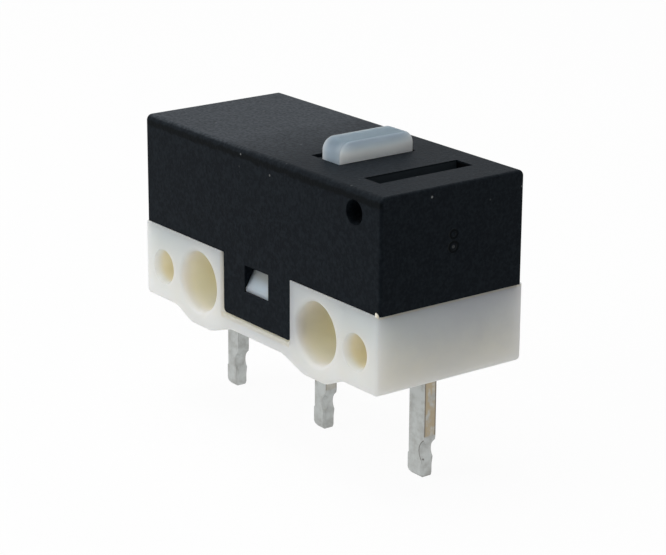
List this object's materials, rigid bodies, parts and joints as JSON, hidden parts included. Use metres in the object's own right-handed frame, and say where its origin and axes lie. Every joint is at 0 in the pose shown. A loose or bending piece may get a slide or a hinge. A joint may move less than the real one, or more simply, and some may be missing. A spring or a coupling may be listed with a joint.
{
  "type": "micro limit switch",
  "caption": "Small snap-action limit switch with a sliding plunger, a latched cover, mounting holes through a white base and in-line solder pins.",
  "frame": {"origin": "midway between the axes of the two mounting holes, on the mid-plane of the housing", "axes": "+X along the length towards the plunger and the lever pocket, -Y out of one latched side along the mounting holes, +Z from the pins up to the plunger"},
  "size_m": [0.0128, 0.0058, 0.0106],
  "materials": {
    "base_plastic": "milky white moulded thermoplastic",
    "cover_plastic": "fine matt black moulded thermoplastic",
    "plunger_plastic": "translucent bluish white moulded thermoplastic",
    "tinned_brass": "matt tin plating over brass",
    "contact_silver": "silver alloy contact face",
    "spring_copper": "bright beryllium copper strip"
  },
  "bodies": {
    "housing": {"base": "base_plastic", "cover": "cover_plastic", "com_terminal": "tinned_brass", "no_terminal": "tinned_brass", "nc_terminal": "tinned_brass", "no_contact": "contact_silver", "nc_contact": "contact_silver"},
    "plunger": {"plunger": "plunger_plastic"},
    "blade": {"snap_spring": "spring_copper", "moving_contact": "contact_silver"}
  },
  "joints": [
    {"name": "plunger_press", "type": "slide", "parent": "housing", "child": "plunger", "axis": [0, 0, -1], "range_m": [0, 0.00055], "stiffness_N_per_m": 800},
    {"name": "blade_swing", "type": "hinge", "parent": "housing", "child": "blade", "pos_m": [0.00539, 0, 0.0031], "axis": [0, -1, 0], "range_deg": [0, 4.89]}
  ],
  "couplings": [
    {"joint": "blade_swing", "follows": "plunger_press", "rad_per_m": 155.13}
  ]
}
